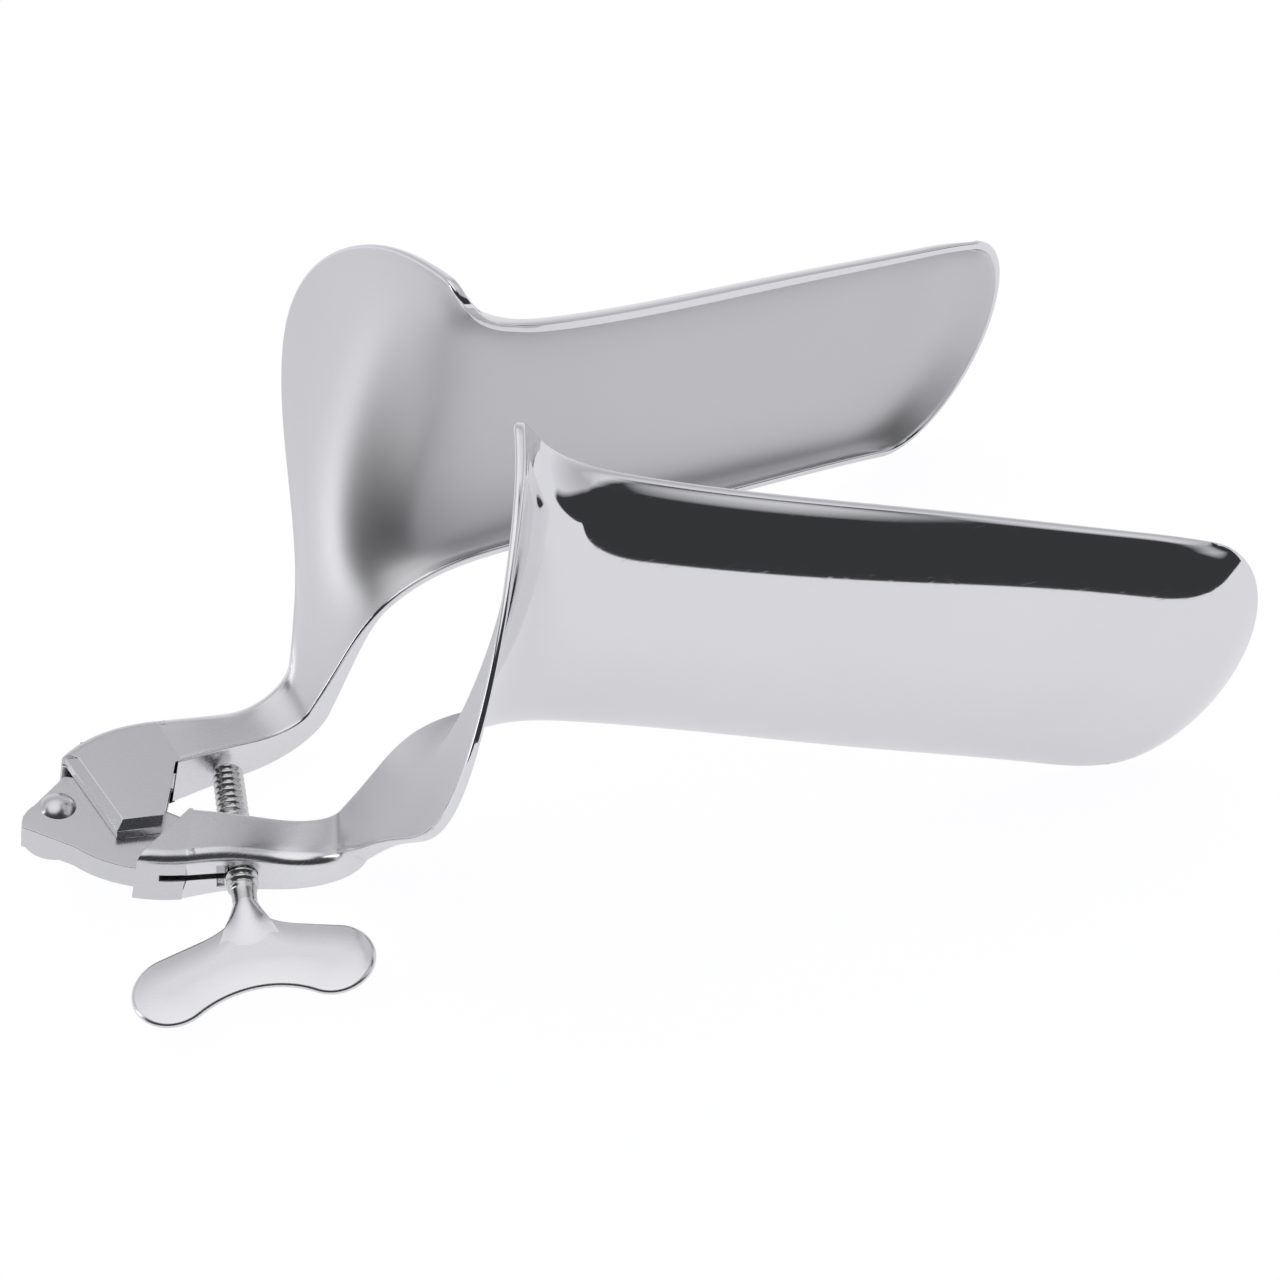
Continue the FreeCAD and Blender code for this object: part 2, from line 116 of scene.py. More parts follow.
# Screw, along its axis from the near arm's inner face outwards
SCREW_X = 22.97
SCREW_TILT = math.radians(9.4)
SCREW_DEPTH = 4.0
SCREW_RADIUS = 2.1
SCREW_PLAY = 0.05
SCREW_REACH = 11.12
SCREW_TIP = 0.9
THREAD_OUT = 10.6
NECK_RADIUS = 1.6
BOSS_START = 12.4
TAIL_END = 20.5
TAIL_WIDTH = 4.6
FILLET_REACH = 3.6
WING_THICKNESS = 1.7
WING_START = 15.9
WING_LOBE = 23.6
WING_ROOT = 2.6
LOBE_RADIUS = 5.2
WING_WAIST = 25.7
WING_SPAN = 30.4
WING_CROWN = 0.32
WING_CROWN_REACH = 3.6
WING_TURN = math.radians(15.0)
SLIT_HEIGHT = 1.1
SLIT_START = 13.8
SLIT_DEPTH = 5.0
RIVET_HEAD = 2.3
RIVET_DOME = 1.2

# Camera: focal length and place from the photograph's own perspective
CAMERA_LENS = 53.44
CAMERA_SENSOR = 36.0
CAMERA_AZIMUTH = math.radians(32.64)
CAMERA_DROP = math.radians(39.73)
CAMERA_ROLL = math.radians(19.57)
CAMERA_PLACE = np.array([-32.80, -170.02, 190.66])

# Brightness of the room by height: 0 straight down, 0.5 level, 1 straight up
ROOM_STOPS = [(0.0, (0.85, 0.85, 0.87)), (0.5, (0.80, 0.80, 0.84)), (0.78, (0.50, 0.50, 0.51)),
              (0.9, (0.86, 0.86, 0.88)), (1.0, (1.0, 1.0, 1.0))]
ROOM_DARK = (0.04, 0.041, 0.043, 1.0)
LAMP_PLACE = (-0.36, 0.03, 0.13)
LAMP_AIM = (-0.035, 0.01, 0.05)
LAMP_SIZE = (0.055, 0.26)
LAMP_POWER = 0.085
FLOOR_REACH = 1.2

JOINTS = {joint["name"]: joint for joint in frame["record"]["behaviour"]["joints"]}
HINGE_UP = np.array(JOINTS["blade_hinge"]["axis"])
HINGE_LEVEL = np.array([0.0, 1.0, 0.0])
HINGE_AHEAD = np.cross(HINGE_LEVEL, HINGE_UP)
ARM_TOP = np.array(JOINTS["blade_hinge"]["pos_m"]) + HINGE_UP * BLOCK_DEPTH / 2 * MM
HALF_OPEN = math.radians(-JOINTS["blade_hinge"]["range_deg"][0]) / 2
NEAR, FAR = -1, 1


def place(points, side, gap=MID_GAP):
    """Closed to open: y becomes side times (y + gap), the half turns by half the opening about
    Z, and the hinge frame's three axes carry it into the model's frame, in metres."""
    x, y, z = points[..., 0], side * (points[..., 1] + gap), points[..., 2]
    swing = side * HALF_OPEN
    along = x * math.cos(swing) - y * math.sin(swing)
    across = x * math.sin(swing) + y * math.cos(swing)
    return ARM_TOP + MM * (along[..., None] * HINGE_AHEAD + across[..., None] * HINGE_LEVEL
                           + z[..., None] * HINGE_UP)


def place_on_screw(points):
    """Screw frame (x level, y up, z outwards along the axis) to the near half, then place()."""
    outward = np.array([math.sin(SCREW_TILT), math.cos(SCREW_TILT), 0.0])
    level = np.array([-math.cos(SCREW_TILT), math.sin(SCREW_TILT), 0.0])
    start = np.array([SCREW_X, 0.0, -SCREW_DEPTH])
    closed = (start + points[..., 0:1] * level + points[..., 1:2] * np.array([0.0, 0.0, 1.0])
              + points[..., 2:3] * outward)
    return place(closed, NEAR, gap=0.0)


# Curves and the sheet


def eased(share):
    """Smooth step of a share from 0 to 1: 3 s^2 - 2 s^3."""
    return share * share * (3 - 2 * share)


def run_along(points):
    """Length along a line of points, from 0 at the first."""
    return np.concatenate([[0], np.cumsum(np.linalg.norm(np.diff(points, axis=0), axis=1))])


def smooth_curve(knots, points, at):
    """Natural cubic curve: on each span p = g p0 + f p1 + h^2/6 ((g^3-g) m0 + (f^3-f) m1), with
    f the share of the span, g = 1 - f, and the bends m solved so that slopes meet. Returns
    places and slopes."""
    knots, points = np.asarray(knots, float), np.asarray(points, float)
    flat = points.reshape(len(knots), -1)
    span = np.diff(knots)
    system = np.zeros((len(knots), len(knots)))
    right = np.zeros_like(flat)
    system[0, 0] = system[-1, -1] = 1.0
    inner = np.arange(1, len(knots) - 1)
    system[inner, inner - 1] = span[:-1]
    system[inner, inner] = 2 * (span[:-1] + span[1:])
    system[inner, inner + 1] = span[1:]
    chord = np.diff(flat, axis=0) / span[:, None]
    right[1:-1] = 6 * np.diff(chord, axis=0)
    bend = np.linalg.solve(system, right)
    at = np.asarray(at, float)
    cell = np.clip(np.searchsorted(knots, at.ravel(), side="right") - 1, 0, len(span) - 1)
    h = span[cell][:, None]
    f = (at.ravel() - knots[cell])[:, None] / h
    g = 1 - f
    low, high = bend[cell], bend[cell + 1]
    value = g * flat[cell] + f * flat[cell + 1] + h ** 2 / 6 * ((g ** 3 - g) * low + (f ** 3 - f) * high)
    slope = (flat[cell + 1] - flat[cell]) / h + h / 6 * ((1 - 3 * g ** 2) * low + (3 * f ** 2 - 1) * high)
    shape = at.shape + points.shape[1:]
    return value.reshape(shape), slope.reshape(shape)


def guide_points():
    """Upper rim, deepest line and lower rim of the sheet, as (along, out) points."""
    shoulder = TIP_REACH - TIP_LENGTH
    middle = (TROUGH_START + shoulder) / 2
    half_top = (TROUGH_TOP + TIP_HALF_HEIGHT) / 2
    half_bottom = (TROUGH_BOTTOM + TIP_HALF_HEIGHT) / 2
    half_depth = (TROUGH_DEPTH + TROUGH_DEPTH_END) / 2
    upper = [(FLANGE_TOP_X - 1.4, FLANGE_TOP + 2.9), (FLANGE_TOP_X + 1.0, FLANGE_TOP - 2.2),
             (THROAT_X, TROUGH_TOP + 2.3), (THROAT_X + 5, TROUGH_TOP + 0.6), (TROUGH_START, TROUGH_TOP),
             (middle, half_top), (shoulder - 12, TIP_HALF_HEIGHT - 0.4), (shoulder - 4, TIP_HALF_HEIGHT),
             (shoulder, TIP_HALF_HEIGHT)]
    lower = [(FOOT_X, AXIS_HEIGHT), (NECK_X, NECK_DROP), (THROAT_X - 5.8, TROUGH_BOTTOM + 7.4),
             (THROAT_X + 1, TROUGH_BOTTOM + 2.4), (TROUGH_START, TROUGH_BOTTOM), (middle, half_bottom),
             (shoulder - 12, TIP_HALF_HEIGHT + 0.2), (shoulder - 4, TIP_HALF_HEIGHT),
             (shoulder, TIP_HALF_HEIGHT)]
    deepest = [(FLANGE_SIDE_X - 0.7, FLANGE_WIDTH + 4), (FLANGE_SIDE_X + 0.7, FLANGE_WIDTH - 8),
               (THROAT_X - 3.4, TROUGH_DEPTH + 8.1), (THROAT_X + 3, TROUGH_DEPTH + 1.7),
               (TROUGH_START, TROUGH_DEPTH), (middle, half_depth), (shoulder - 6, TROUGH_DEPTH_END),
               (TIP_REACH - 4.4, TROUGH_DEPTH_END * 0.66), (TIP_REACH, 0.0)]
    return upper, deepest, lower


def beside(points, station, distance):
    """A guide's point at each station, moved to the guide's left by a distance. Knots follow the
    guide's length, and a smooth curve of its own takes stations to knots."""
    steps = run_along(points)
    knot = smooth_curve(np.arange(len(points)), steps, station)[0]
    value, slope = smooth_curve(steps, points, knot)
    ahead = slope / np.linalg.norm(slope, axis=-1, keepdims=True)
    return value[..., 0] - ahead[..., 1] * distance, value[..., 1] + ahead[..., 0] * distance


def lower_wall(station):
    """Wall on the lower guide, thinning from the foot to the neck and on to the blade."""
    return np.interp(station, [0, 1, 2], [FOOT_WALL, NECK_WALL, WALL])


def sheet_point(station, turn, outside):
    """Half an ellipse over the three guides: x = xm + (xt - xb)/2 cos + (xs - xm) sin,
    y = depth sin, z = axis + (top - bottom)/2 + (top + bottom)/2 cos, turn from 0 to pi."""
    upper, deepest, lower = guide_points()
    top_x, top = beside(upper, station, WALL * outside)
    side_x, depth = beside(deepest, station, WALL * outside)
    bottom_x, bottom = beside(lower, station, lower_wall(station) * outside)
    lean, bulge = np.cos(turn), np.sin(turn)
    middle_x = (top_x + bottom_x) / 2
    return np.stack([middle_x + (top_x - bottom_x) / 2 * lean + (side_x - middle_x) * bulge,
                     np.maximum(depth, 0.0) * bulge,
                     AXIS_HEIGHT + (top - bottom) / 2 + (top + bottom) / 2 * lean], axis=-1)


def outline_width(height):
    """Half width of the flange and the neck at a height, seen along the blade."""
    top = AXIS_HEIGHT + FLANGE_TOP
    widest = AXIS_HEIGHT + FLANGE_WIDEST
    foot = ARM_END_DEPTH * 0.5
    rise, drop = top - widest, widest - foot
    points = [(FLANGE_CORNER, top), (0.42 * FLANGE_WIDTH, widest + 0.88 * rise),
              (0.78 * FLANGE_WIDTH, widest + 0.58 * rise), (0.96 * FLANGE_WIDTH, widest + 0.25 * rise),
              (FLANGE_WIDTH, widest), (0.93 * FLANGE_WIDTH, widest - 0.22 * drop),
              (0.71 * FLANGE_WIDTH, widest - 0.48 * drop), (NECK_WIDTH + 4.0, widest - 0.71 * drop),
              (NECK_WIDTH, widest - 0.85 * drop), (ARM_WIDTH + 1.5, foot)]
    steps = run_along(points)
    edge = smooth_curve(steps, points, np.linspace(0, steps[-1], 800))[0][::-1]
    return np.interp(height, edge[:, 1], edge[:, 0])


def inside_outline(point):
    """True within the outline, with its rounded upper corner."""
    out, up = point[..., 1], point[..., 2]
    corner = AXIS_HEIGHT + FLANGE_TOP - FLANGE_CORNER
    across = np.clip(FLANGE_CORNER - out, 0, FLANGE_CORNER)
    roof = corner + np.sqrt(FLANGE_CORNER ** 2 - across ** 2)
    return (out < outline_width(up)) & (up < roof)


def halve(low, high, is_low):
    """Twenty-six halvings of the span between low and high, kept where is_low changes."""
    for _ in range(26):
        middle = (low + high) / 2
        below = is_low(middle)
        low, high = np.where(below, middle, low), np.where(below, high, middle)
    return (low + high) / 2


def neck_edge_turn(station, outside):
    """Turn at which each section of the neck meets the outline."""
    def beyond(turn):
        point = sheet_point(station, turn, outside)
        return point[..., 1] > outline_width(point[..., 2])
    return halve(np.full_like(station, math.pi / 2), np.full_like(station, math.pi), beyond)


def flange_start(columns, outside):
    """Station and turn of points along the flange's outline, close together round the corner at
    the upper rim and wider apart down to the head of the neck."""
    turn = float(neck_edge_turn(np.array([NECK_HEAD]), outside)[0]) * np.linspace(0, 1, 1200) ** 2
    station = halve(np.full_like(turn, -0.2), np.full_like(turn, 1.7),
                    lambda s: ~inside_outline(sheet_point(s, turn, outside)))
    station[-1] = NECK_HEAD
    edge = sheet_point(station, turn, outside)
    run = run_along(edge)
    dense_first = run[-1] * np.linspace(0, 1, columns) ** 1.5
    return np.interp(dense_first, run, station), np.interp(dense_first, run, turn)


def neck_row(station, share, outside):
    """Turns across the neck at each station, at even shares of its width; share 0 is its outer
    edge and 1 the rim at the mid-plane: sin turn = (1 - share) sin edge."""
    edge = neck_edge_turn(np.asarray(station, float), outside)
    return math.pi - np.arcsin(np.sin(edge)[..., None] * (1 - share))


def blade_grid(outside, columns=OUTLINE_COLUMNS, neck_columns=NECK_COLUMNS):
    """The sheet from the flange's outline and the neck's head to the tip. Columns start evenly
    along the outline, then across the neck, and spread evenly over the trough."""
    start_s, start_turn = flange_start(columns, outside)
    share = np.linspace(0, 1, neck_columns + 1)[1:]
    start_s = np.concatenate([start_s, np.full(neck_columns, NECK_HEAD)])
    start_turn = np.concatenate([start_turn, neck_row(np.array([NECK_HEAD]), share, outside)[0]])
    even = np.linspace(0, 1, len(start_s))
    spread = math.pi * (even + COLUMN_SPREAD * np.sin(2 * math.pi * even) / (2 * math.pi))
    rows = np.concatenate([np.linspace(0, 4, 64)[:-1], np.linspace(4, 6, 22)[:-1],
                           np.linspace(6, TIP_STATION, 32)])
    station = start_s + (TIP_STATION - start_s) * (rows / TIP_STATION)[:, None]
    ease = eased(np.clip((station - start_s) / (SPREAD_STATION - start_s), 0, 1))
    turn = start_turn * (1 - ease) + spread * ease
    return sheet_point(station, turn, outside)


def neck_grid(outside, neck_columns=NECK_COLUMNS, rows=22):
    """The neck between the arm and the flange: rows straight across from its outline to the rim."""
    station = np.linspace(NECK_FOOT, NECK_HEAD, rows)
    turn = neck_row(station, np.linspace(0, 1, neck_columns + 1), outside)
    return sheet_point(station[:, None], turn, outside)


def arm_grid(outside, neck_columns=NECK_COLUMNS, rows=54):
    """The arm from the block to the foot of the neck: smooth rails through level rows across the
    arm and the neck's first rows."""
    share = np.linspace(0, 1, neck_columns + 1)
    slope = (BLOCK_DEPTH - ARM_END_DEPTH) / (ARM_END_X - BLOCK_X)
    levels = []
    for x, width in ((BLOCK_X, BLOCK_WIDTH - 0.5), (ARM_SLIM_X, ARM_WIDTH), (ARM_END_X, ARM_WIDTH)):
        depth = BLOCK_DEPTH - slope * (x - BLOCK_X)
        level = np.zeros((neck_columns + 1, 3))
        level[:, 0], level[:, 1], level[:, 2] = x, width * (1 - share), -depth * outside
        levels.append(level)
    foot = NECK_FOOT + np.array([0, 0.06, 0.12, 0.2, 0.35, 0.6])
    levels += list(sheet_point(foot[:, None], neck_row(foot, share, outside), outside))
    middle = np.array([level[len(level) // 2] for level in levels])
    knots = run_along(middle)
    return smooth_curve(knots, levels, np.linspace(0, knots[3], rows))[0]


# Meshes


def grid_faces(rows, columns, offset=0):
    """Quads of a grid whose points are numbered row by row."""
    index = offset + np.arange(rows * columns).reshape(rows, columns)
    quads = np.stack([index[:-1, :-1], index[:-1, 1:], index[1:, 1:], index[1:, :-1]], axis=-1)
    return quads.reshape(-1, 4)


def mesh_of(name, points, faces, material_index=None):
    """A mesh from point and quad arrays, through foreach_set."""
    points, faces = np.asarray(points, float), np.asarray(faces, int)
    mesh = bpy.data.meshes.new(name)
    mesh.vertices.add(len(points))
    mesh.vertices.foreach_set("co", points.ravel())
    mesh.loops.add(faces.size)
    mesh.loops.foreach_set("vertex_index", faces.ravel())
    mesh.polygons.add(len(faces))
    mesh.polygons.foreach_set("loop_start", np.arange(0, faces.size, 4))
    if material_index is not None:
        mesh.polygons.foreach_set("material_index", np.asarray(material_index, int))
    mesh.update(calc_edges=True)
    mesh.validate()
    return mesh


def joined(grids):
    """One mesh from (points, material number) grids, neighbours merged, faces turned outwards."""
    points, faces, numbers, offset = [], [], [], 0
    for grid, number in grids:
        rows, columns = grid.shape[:2]
        quads = grid_faces(rows, columns, offset)
        points.append(grid.reshape(-1, 3))
        faces.append(quads)
        numbers.append(np.full(len(quads), number))
        offset += rows * columns
    mesh = mesh_of("work", np.concatenate(points), np.concatenate(faces), np.concatenate(numbers))
    bm = bmesh.new()
    bm.from_mesh(mesh)
    bpy.data.meshes.remove(mesh)
    bmesh.ops.remove_doubles(bm, verts=bm.verts, dist=MERGE_REACH)
    bmesh.ops.dissolve_degenerate(bm, edges=bm.edges, dist=1e-7)
    bmesh.ops.recalc_face_normals(bm, faces=bm.faces)
    return bm


def rounded(bm, width, angle=0.7, segments=3):
    """Rounds every edge sharper than the angle."""
    sharp = [edge for edge in bm.edges if len(edge.link_faces) == 2 and edge.calc_face_angle() > angle]
    bmesh.ops.bevel(bm, geom=sharp, offset=width, segments=segments, profile=0.5,
                    affect="EDGES", clamp_overlap=True)


def piece(name, mesh, body, nodes, materials):
    """Links a finished mesh as a piece that stands for the CAD nodes and rides on their body."""
    mesh.name = name
    numbers = np.zeros(len(mesh.polygons), dtype=np.int32)
    mesh.polygons.foreach_get("material_index", numbers)
    mesh.materials.clear()
    for material in materials:
        mesh.materials.append(material)
    mesh.polygons.foreach_set("material_index", numbers)
    mesh.polygons.foreach_set("use_smooth", np.ones(len(mesh.polygons), bool))
    mesh.set_sharp_from_angle(angle=math.radians(38))
    obj = bpy.data.objects.new(name, mesh)
    bpy.context.scene.collection.objects.link(obj)
    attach(obj, body)
    if nodes:
        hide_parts(*nodes)
    return obj


def weighted(obj):
    """Keeps broad flat faces flat beside their rounded edges."""
    keep = obj.modifiers.new("flat faces", "WEIGHTED_NORMAL")
    keep.keep_sharp = True
    keep.weight = 60
    return obj


def rim_loop():
    """Indices of the sheet's border points in each of the three grids, in order round the sheet:
    up the outer edge of arm, neck and flange, along the upper rim, round the tip and back."""
    shapes = [grid.shape[:2] for grid in (blade_grid(0), neck_grid(0), arm_grid(0))]
    number, start = [], 0
    for rows, columns in shapes:
        number.append(start + np.arange(rows * columns).reshape(rows, columns))
        start += rows * columns
    blade, neck, arm = number
    loop = np.concatenate([arm[:-1, 0], neck[:-1, 0], blade[0, OUTLINE_COLUMNS - 1::-1], blade[1:, 0],
                           blade[-1, 1:], blade[-2::-1, -1], neck[-2::-1, -1], arm[-2::-1, -1]])
    return number, loop


def unit(vectors):
    """Vectors brought to length one."""
    return vectors / np.linalg.norm(vectors, axis=-1, keepdims=True)


def ease_borders(grid, shift, ends, reach=4):
    """Moves a grid's border by its shift and passes the shift on to the points within a few
    columns, and rows where the ends are borders too, fading, so that none crosses the border."""
    passed = np.zeros_like(grid)
    for step in range(1, reach):
        fade = 1 - step / reach
        passed[:, step] += shift[:, 0] * fade
        passed[:, -1 - step] += shift[:, -1] * fade
        if ends:
            passed[step] += shift[0] * fade
            passed[-1 - step] += shift[-1] * fade
    passed[np.any(shift != 0, axis=-1)] = 0.0
    return grid + shift + passed


def rounded_skins(edge):
    """Inner and outer skins as three grids each, drawn in along the border by the rounding, and
    the rim between them: a quarter circle, the flat of the wall and a quarter circle back. With
    n across the wall and d into the sheet, a quarter runs c - edge (n cos t + d sin t)."""
    number, loop = rim_loop()
    grids = [[grid(outside) for grid in (blade_grid, neck_grid, arm_grid)] for outside in (0, 1)]
    flat = [np.concatenate([grid.reshape(-1, 3) for grid in skin]) for skin in grids]
    inner, outer = flat[0][loop], flat[1][loop]
    across = unit(outer - inner)
    inward = unit(np.cross(across, np.gradient((inner + outer) / 2, axis=0)))
    probe = np.nonzero(loop == number[0][60, 0])[0][0]
    if np.dot(inward[probe], flat[0][number[0][60, 1]] - flat[0][number[0][60, 0]]) < 0:
        inward = -inward
    arm_rows = number[2].shape[0]
    place_on_arm = np.clip((arm_rows + 14 - np.arange(len(loop))) / 18, 0, 1)[:, None]
    top_edge = edge + (ARM_ROUNDING - edge) * place_on_arm ** 2 * (3 - 2 * place_on_arm)
    bend = np.linspace(0, math.pi / 2, 8)[:, None, None]
    first = inner + top_edge * (inward + across) - top_edge * (np.cos(bend) * across + np.sin(bend) * inward)
    last = outer + edge * (inward - across) - edge * (-np.cos(bend) * across + np.sin(bend) * inward)
    rim = np.concatenate([first, last[::-1]])
    skins = []
    for skin, points, width in zip(grids, flat, (top_edge, edge)):
        shift = np.zeros_like(points)
        shift[loop] = width * inward
        shift[number[1][-1]] = shift[number[0][0, OUTLINE_COLUMNS - 1:]]
        shift[number[2][-1]] = shift[number[1][0]]
        blade, neck, arm = (ease_borders(grid, shift[numbers], ends) for grid, numbers, ends
                            in zip(skin, number, (True, False, False)))
        blade[0, OUTLINE_COLUMNS - 1:] = neck[-1]
        arm[-1] = neck[0]
        skins.append([blade, neck, arm])
    return skins, rim


def sheet_and_arm(side, edge):
    """Blade, flange, neck and arm of a half as one closed skin with round rims. The arm's end is
    drawn in a little and stands inside the hinge block."""
    skins, rim = rounded_skins(edge / MM)
    grids = [(place(grid, side), SATIN) for grid in skins[0]]
    grids += [(place(grid, side), POLISHED) for grid in skins[1] + [rim]]
    bm = joined(grids)
    border = [line for line in bm.edges if len(line.link_faces) == 1]
    stub = bmesh.ops.extrude_edge_only(bm, edges=border)["geom"]
    verts = [item for item in stub if isinstance(item, bmesh.types.BMVert)]
    centre = sum((vert.co for vert in verts), Vector()) / len(verts)
    back = Vector(place(np.array([BLOCK_X - STUB_REACH, 0.0, 0.0]), side)
                  - place(np.array([BLOCK_X, 0.0, 0.0]), side))
    for vert in verts:
        vert.co = centre + (vert.co - centre) * STUB_SHARE + back
    lines = [item for item in stub if isinstance(item, bmesh.types.BMEdge)]
    bmesh.ops.holes_fill(bm, edges=lines, sides=0)
    bmesh.ops.recalc_face_normals(bm, faces=bm.faces)
    return bm


def hinge_block(node, side, edge):
    """The block's solid as packed, cut off where the arm begins, flat faces made whole again and
    edges rounded."""
    bm = bmesh.new()
    bm.from_mesh(frame["nodes"][node].data)
    bmesh.ops.remove_doubles(bm, verts=bm.verts, dist=MERGE_REACH)
    at = place(np.array([BLOCK_X, 0.0, 0.0]), side)
    ahead = place(np.array([BLOCK_X + 1.0, 0.0, 0.0]), side) - at
    bmesh.ops.dissolve_limit(bm, angle_limit=math.radians(1.0), verts=bm.verts, edges=bm.edges)
    top = Vector(HINGE_UP)
    outward = Vector(place(np.array([0.0, 1.0, 0.0]), side) - place(np.zeros(3), side)).normalized()
    high = Vector(ARM_TOP).dot(top) - 0.1 * MM
    chain = []
    for line in bm.edges:
        if len(line.link_faces) == 2 and min(vert.co.dot(top) for vert in line.verts) > high:
            flat, wall = sorted(line.link_faces, key=lambda face: -face.normal.dot(top))
            if flat.normal.dot(top) > 0.9 and wall.normal.dot(outward) > 0.6:
                chain.append(line)
    bmesh.ops.bevel(bm, geom=chain, offset=ARM_ROUNDING * MM, segments=7, profile=0.5, affect="EDGES",
                    clamp_overlap=False)
    bmesh.ops.bisect_plane(bm, geom=bm.verts[:] + bm.edges[:] + bm.faces[:], dist=1e-6,
                           plane_co=at, plane_no=ahead, clear_outer=True)
    rounded(bm, edge, angle=0.55)
    rim = [line for line in bm.edges if len(line.link_faces) == 1]
    bmesh.ops.holes_fill(bm, edges=rim, sides=0)
    for face in bm.faces:
        face.material_index = SATIN
    return bm


def cut_away(mesh, cutter):
    """The mesh less the cutter, worked out in millimetres, which the solver handles best."""
    objects = [bpy.data.objects.new("work", data) for data in (mesh, cutter)]
    for obj in objects:
        obj.data.transform(Matrix.Scale(1 / MM, 4))
        bpy.context.scene.collection.objects.link(obj)
    boolean = objects[0].modifiers.new("cut", "BOOLEAN")
    boolean.object, boolean.operation, boolean.solver = objects[1], "DIFFERENCE", "MANIFOLD"
    depsgraph = bpy.context.evaluated_depsgraph_get()
    result = bpy.data.meshes.new_from_object(objects[0].evaluated_get(depsgraph))
    result.transform(Matrix.Scale(MM, 4))
    for obj in objects:
        bpy.data.objects.remove(obj)
    return result


def clamp_slit():
    """Cutter for the tapped hole and the saw cut beside it, in the part where the arm is."""
    bm = bmesh.new()
    corners = [np.array([x, y, z]) for x in (SLIT_START, SCREW_X)
               for y in (BLOCK_WIDTH - SLIT_DEPTH, BLOCK_WIDTH + 5)
               for z in (-SCREW_DEPTH - SLIT_HEIGHT / 2, -SCREW_DEPTH + SLIT_HEIGHT / 2)]
    verts = [bm.verts.new(place(corner, NEAR)) for corner in corners]
    for face in ((0, 1, 3, 2), (4, 6, 7, 5), (0, 4, 5, 1), (2, 3, 7, 6), (0, 2, 6, 4), (1, 5, 7, 3)):
        bm.faces.new([verts[number] for number in face])
    sides = 48
    around = np.linspace(0, 2 * math.pi, sides + 1)[:-1]
    bore = SCREW_RADIUS + SCREW_PLAY
    inner, outer = ([bm.verts.new(point) for point in place_on_screw(rings_about(bore, along, around))]
                    for along in (-4.0, 14.0))
    for number in range(sides):
        after = (number + 1) % sides
        bm.faces.new([inner[number], inner[after], outer[after], outer[number]])
    bm.faces.new(inner[::-1])
    bm.faces.new(outer)
    bmesh.ops.recalc_face_normals(bm, faces=bm.faces)
    mesh = bpy.data.meshes.new("cutter")
    bm.to_mesh(mesh)
    bm.free()
    return mesh


def half_mesh(node, side, edge):
    """Sheet and arm with the hinge block, in one mesh."""
    body = bpy.data.meshes.new("work")
    bm = sheet_and_arm(side, edge)
    bm.to_mesh(body)
    bm.free()
    for _ in range(3):
        body.materials.append(None)
    if side == NEAR:
        body = cut_away(body, clamp_slit())
    block = hinge_block(node, side, edge * 0.7)
    block.from_mesh(body)
    mesh = bpy.data.meshes.new(node)
    block.to_mesh(mesh)
    block.free()
    return mesh


def rings_about(radius, along, around):
    """Points at a radius and a place along the axis, all round it."""
    return np.stack([radius * np.cos(around), radius * np.sin(around), along + 0 * around], axis=-1)


def shank_grid(pitch, depth, sides=72):
    """Thread and neck: r = crest - depth (1 - ridge) in the thread, where ridge is a rounded
    wave of the phase along / pitch - turn, fading out at the neck, and capped by the rounded
    tip and the waisted neck."""
    steps = int(round((THREAD_OUT + SCREW_REACH) / pitch * 14))
    along = np.concatenate([[-SCREW_REACH], np.linspace(-SCREW_REACH, THREAD_OUT + 0.8, steps),
                            np.linspace(THREAD_OUT + 0.9, BOSS_START, 8), [BOSS_START]])[:, None]
    around = np.linspace(0, 2 * math.pi, sides + 1)
    wave = 0.5 + 0.5 * np.cos(2 * math.pi * (along / pitch - around / (2 * math.pi)))
    ridge = wave ** 0.75
    fade = np.clip((THREAD_OUT - along) / (1.2 * pitch), 0, 1)
    root = SCREW_RADIUS - depth
    radius = root + depth * ridge * fade
    beyond = np.clip(SCREW_TIP - along - SCREW_REACH, 0, SCREW_TIP)
    cap = SCREW_RADIUS - SCREW_TIP + np.sqrt(np.clip(SCREW_TIP ** 2 - beyond ** 2, 0, None))
    radius = np.minimum(radius, cap)
    down = eased(np.clip((along - THREAD_OUT + 1.0) / 1.8, 0, 1))
    radius = radius * (1 - down) + NECK_RADIUS * down
    radius[0] = radius[-1] = 0.0
    return rings_about(radius, along, around)


def tail_grid(sides=64):
    """Neck flattening out into the wing: half width w and half thickness b change by smooth
    steps, and the section goes from an ellipse, y = b sin t, to a bell, y = f + (b - f)
    (1 + cos(pi x / w)) / 2, whose feet f lie inside the wing."""
    along = np.concatenate([[BOSS_START], np.linspace(BOSS_START, TAIL_END, 40), [TAIL_END]])[:, None]
    share = (along - BOSS_START) / (TAIL_END - BOSS_START)
    ease = eased(share)
    width = NECK_RADIUS + (TAIL_WIDTH - NECK_RADIUS) * share
    foot = WING_THICKNESS / 2 - 0.06
    thick = NECK_RADIUS + (foot + 0.02 - NECK_RADIUS) * ease
    flat = eased(np.clip((share - 0.08) / 0.42, 0, 1))
    around = np.linspace(0, 2 * math.pi, sides + 1)
    x = width * np.cos(around)
    sine = np.round(np.sin(around), 9)
    bell = np.sign(sine) * (foot + (thick - foot) * (0.5 + 0.5 * np.cos(math.pi * np.cos(around))))
    y = thick * sine * (1 - flat) + bell * flat
    x[[0, -1]], y[[0, -1]] = 0.0, 0.0
    return turned_with_wing(np.stack([x, y, along + 0 * around], axis=-1))


